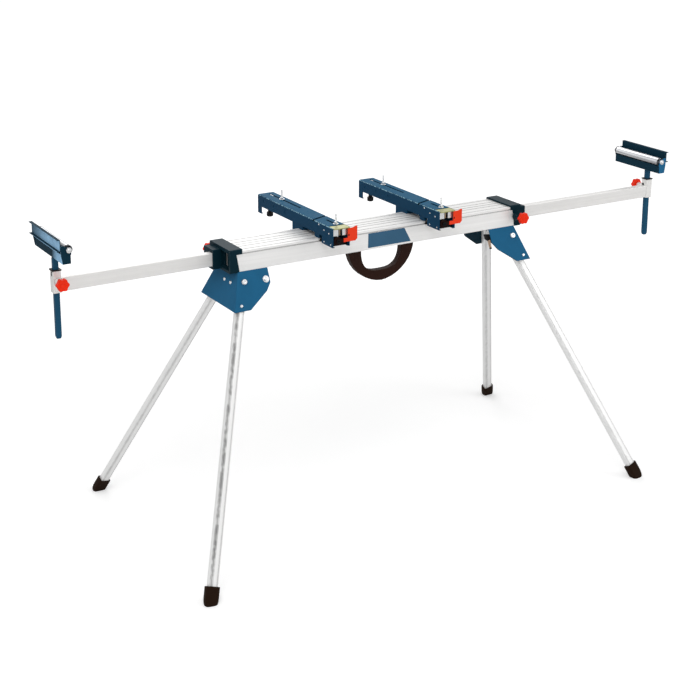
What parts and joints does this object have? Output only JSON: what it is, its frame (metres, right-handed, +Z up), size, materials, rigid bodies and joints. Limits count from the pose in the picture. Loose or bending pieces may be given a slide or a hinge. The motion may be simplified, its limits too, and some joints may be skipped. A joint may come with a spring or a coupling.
{
  "type": "folding miter saw stand",
  "caption": "Folding stand for a miter saw: grooved rail on splayed legs, sliding extension bars with roller heads, clamp-on saw arms and a carrying handle.",
  "frame": {"origin": "centre of the bounding box on the floor, under the stand", "axes": "+X along the rail towards the right-hand roller head, +Y to the rear, +Z up; the lever side is the front"},
  "size_m": [2.143, 0.871, 0.9758],
  "materials": {
    "rail_aluminium": "anodised satin",
    "bar_aluminium": "brushed satin",
    "leg_aluminium": "anodised satin",
    "plated_steel": "zinc plated",
    "black_steel": "black",
    "yellow_zinc": "yellow passivated",
    "cap_paint": "dark blue satin",
    "bracket_paint": "blue satin",
    "post_paint": "blue satin",
    "tray_paint": "blue satin",
    "stop_paint": "dark blue satin",
    "arm_paint": "dark blue satin",
    "knob_plastic": "red moulded",
    "lever_paint": "red satin",
    "black_plastic": "moulded",
    "rubber": "matt",
    "grip": "matt moulded"
  },
  "bodies": {
    "frame": {"rail": "rail_aluminium", "left_end_cap": "cap_paint", "right_end_cap": "cap_paint", "left_leg_bracket": "bracket_paint", "right_leg_bracket": "bracket_paint", "handle": "grip", "left_front_pivot_bolt": "plated_steel", "left_rear_pivot_bolt": "plated_steel", "right_front_pivot_bolt": "plated_steel", "right_rear_pivot_bolt": "plated_steel"},
    "left_front_leg": {"left_front_leg": "leg_aluminium", "left_front_foot": "rubber"},
    "left_front_pin": {"left_front_lock_pin": "plated_steel"},
    "left_rear_leg": {"left_rear_leg": "leg_aluminium", "left_rear_foot": "rubber"},
    "left_rear_pin": {"left_rear_lock_pin": "plated_steel"},
    "left_rear_latch": {"left_rear_latch": "black_plastic"},
    "left_bar": {"left_extension_bar": "bar_aluminium", "left_bar_plug": "rubber", "left_collar": "bar_aluminium", "left_bush": "black_plastic"},
    "left_head": {"left_post": "post_paint", "left_roller_tray": "tray_paint", "left_stop_channel": "stop_paint", "left_roller_shaft": "plated_steel"},
    "left_roller": {"left_roller": "plated_steel"},
    "left_bar_knob": {"left_bar_knob": "knob_plastic"},
    "left_post_knob": {"left_post_knob": "knob_plastic"},
    "left_arm": {"left_arm": "arm_paint", "left_clamp_plate": "yellow_zinc"},
    "left_lever": {"left_clamp_lever": "lever_paint"},
    "left_jaw": {"left_clamp_jaw": "black_steel"},
    "left_front_bolt": {"left_front_bolt": "plated_steel"},
    "left_rear_bolt": {"left_rear_bolt": "plated_steel"},
    "left_rear_knob": {"left_rear_knob": "black_plastic"},
    "right_front_leg": {"right_front_leg": "leg_aluminium", "right_front_foot": "rubber"},
    "right_front_pin": {"right_front_lock_pin": "plated_steel"},
    "right_front_latch": {"right_front_latch": "black_plastic"},
    "right_rear_leg": {"right_rear_leg": "leg_aluminium", "right_rear_foot": "rubber"},
    "right_rear_pin": {"right_rear_lock_pin": "plated_steel"},
    "right_bar": {"right_extension_bar": "bar_aluminium", "right_bar_plug": "rubber", "right_collar": "bar_aluminium", "right_bush": "black_plastic"},
    "right_head": {"right_post": "post_paint", "right_roller_tray": "tray_paint", "right_stop_channel": "stop_paint", "right_roller_shaft": "plated_steel"},
    "right_roller": {"right_roller": "plated_steel"},
    "right_bar_knob": {"right_bar_knob": "knob_plastic"},
    "right_post_knob": {"right_post_knob": "knob_plastic"},
    "right_arm": {"right_arm": "arm_paint", "right_clamp_plate": "yellow_zinc"},
    "right_lever": {"right_clamp_lever": "lever_paint"},
    "right_jaw": {"right_clamp_jaw": "black_steel"},
    "right_front_bolt": {"right_front_bolt": "plated_steel"},
    "right_rear_bolt": {"right_rear_bolt": "plated_steel"},
    "right_rear_knob": {"right_rear_knob": "black_plastic"}
  },
  "joints": [
    {"name": "left_front_leg_fold", "type": "hinge", "parent": "frame", "child": "left_front_leg", "pos_m": [-0.5233, -0.06345, 0.7678], "axis": [0, -0.9056, 0.4242], "range_deg": [0, 103]},
    {"name": "left_front_pin_pull", "type": "slide", "parent": "frame", "child": "left_front_pin", "axis": [0, -0.9056, 0.4242], "range_m": [0, 0.008], "stiffness_N_per_m": 200, "springref_m": -0.002},
    {"name": "left_rear_leg_fold", "type": "hinge", "parent": "frame", "child": "left_rear_leg", "pos_m": [-0.5233, 0.04461, 0.75898], "axis": [0, -0.9056, -0.4242], "range_deg": [0, 103]},
    {"name": "left_rear_pin_pull", "type": "slide", "parent": "frame", "child": "left_rear_pin", "axis": [0, 0.9056, 0.4242], "range_m": [0, 0.008], "stiffness_N_per_m": 200, "springref_m": -0.002},
    {"name": "left_rear_latch_press", "type": "hinge", "parent": "frame", "child": "left_rear_latch", "pos_m": [-0.4593, 0.07467, 0.77803], "axis": [0, 0.9056, 0.4242], "range_deg": [0, 15], "stiffness_Nm_per_rad": 0.2, "springref_deg": -5.73},
    {"name": "left_bar_slide", "type": "slide", "parent": "frame", "child": "left_bar", "axis": [-1, 0, 0], "range_m": [-0.445, 0.27]},
    {"name": "left_post_slide", "type": "slide", "parent": "left_bar", "child": "left_head", "axis": [0, 0, 1], "range_m": [-0.03, 0.1]},
    {"name": "left_roller_spin", "type": "hinge", "parent": "left_head", "child": "left_roller", "pos_m": [-1.0397, 0.0468, 0.9448], "axis": [0, 1, 0], "continuous": true},
    {"name": "left_bar_knob_turn", "type": "hinge", "parent": "frame", "child": "left_bar_knob", "pos_m": [-0.5473, 0, 0.8332], "axis": [0, 1, 0], "continuous": true},
    {"name": "left_post_knob_turn", "type": "hinge", "parent": "left_bar", "child": "left_post_knob", "pos_m": [-1.0519, 0.0128, 0.8412], "axis": [0, 1, 0], "continuous": true},
    {"name": "left_arm_slide", "type": "slide", "parent": "frame", "child": "left_arm", "axis": [1, 0, 0], "range_m": [-0.235, 0.135]},
    {"name": "left_lever_turn", "type": "hinge", "parent": "left_arm", "child": "left_lever", "pos_m": [-0.2518, -0.145, 0.873], "axis": [0, 1, 0], "range_deg": [0, 70]},
    {"name": "left_jaw_slide", "type": "slide", "parent": "left_arm", "child": "left_jaw", "axis": [0, -1, 0], "range_m": [0, 0.003]},
    {"name": "left_front_bolt_slide", "type": "slide", "parent": "left_arm", "child": "left_front_bolt", "axis": [0, 1, 0], "range_m": [-0.0015, 0.045]},
    {"name": "left_rear_bolt_slide", "type": "slide", "parent": "left_arm", "child": "left_rear_bolt", "axis": [0, 1, 0], "range_m": [-0.115, 0.075]},
    {"name": "left_rear_knob_turn", "type": "hinge", "parent": "left_arm", "child": "left_rear_knob", "pos_m": [-0.2398, 0.296, 0.857], "axis": [0, 0, 1], "continuous": true},
    {"name": "right_front_leg_fold", "type": "hinge", "parent": "frame", "child": "right_front_leg", "pos_m": [0.4347, -0.04461, 0.75898], "axis": [0, 0.9056, -0.4242], "range_deg": [0, 103]},
    {"name": "right_front_pin_pull", "type": "slide", "parent": "frame", "child": "right_front_pin", "axis": [0, -0.9056, 0.4242], "range_m": [0, 0.008], "stiffness_N_per_m": 200, "springref_m": -0.002},
    {"name": "right_front_latch_press", "type": "hinge", "parent": "frame", "child": "right_front_latch", "pos_m": [0.3707, -0.07467, 0.77803], "axis": [0, -0.9056, 0.4242], "range_deg": [0, 15], "stiffness_Nm_per_rad": 0.2, "springref_deg": -5.73},
    {"name": "right_rear_leg_fold", "type": "hinge", "parent": "frame", "child": "right_rear_leg", "pos_m": [0.4347, 0.06345, 0.7678], "axis": [0, 0.9056, 0.4242], "range_deg": [0, 103]},
    {"name": "right_rear_pin_pull", "type": "slide", "parent": "frame", "child": "right_rear_pin", "axis": [0, 0.9056, 0.4242], "range_m": [0, 0.008], "stiffness_N_per_m": 200, "springref_m": -0.002},
    {"name": "right_bar_slide", "type": "slide", "parent": "frame", "child": "right_bar", "axis": [1, 0, 0], "range_m": [-0.533, 0.182]},
    {"name": "right_post_slide", "type": "slide", "parent": "right_bar", "child": "right_head", "axis": [0, 0, 1], "range_m": [-0.03, 0.1]},
    {"name": "right_roller_spin", "type": "hinge", "parent": "right_head", "child": "right_roller", "pos_m": [1.0397, 0.0212, 0.9448], "axis": [0, 1, 0], "continuous": true},
    {"name": "right_bar_knob_turn", "type": "hinge", "parent": "frame", "child": "right_bar_knob", "pos_m": [0.4587, 0, 0.8332], "axis": [0, 1, 0], "continuous": true},
    {"name": "right_post_knob_turn", "type": "hinge", "parent": "right_bar", "child": "right_post_knob", "pos_m": [1.0519, -0.0128, 0.8412], "axis": [0, 1, 0], "continuous": true},
    {"name": "right_arm_slide", "type": "slide", "parent": "frame", "child": "right_arm", "axis": [1, 0, 0], "range_m": [-0.135, 0.235]},
    {"name": "right_lever_turn", "type": "hinge", "parent": "right_arm", "child": "right_lever", "pos_m": [0.1207, -0.145, 0.873], "axis": [0, 1, 0], "range_deg": [0, 70]},
    {"name": "right_jaw_slide", "type": "slide", "parent": "right_arm", "child": "right_jaw", "axis": [0, -1, 0], "range_m": [0, 0.003]},
    {"name": "right_front_bolt_slide", "type": "slide", "parent": "right_arm", "child": "right_front_bolt", "axis": [0, 1, 0], "range_m": [-0.0015, 0.045]},
    {"name": "right_rear_bolt_slide", "type": "slide", "parent": "right_arm", "child": "right_rear_bolt", "axis": [0, 1, 0], "range_m": [-0.115, 0.075]},
    {"name": "right_rear_knob_turn", "type": "hinge", "parent": "right_arm", "child": "right_rear_knob", "pos_m": [0.1327, 0.296, 0.857], "axis": [0, 0, 1], "continuous": true}
  ],
  "couplings": [
    {"joint": "left_jaw_slide", "follows": "left_lever_turn", "m_per_rad": 0.0024},
    {"joint": "right_jaw_slide", "follows": "right_lever_turn", "m_per_rad": 0.0024}
  ]
}
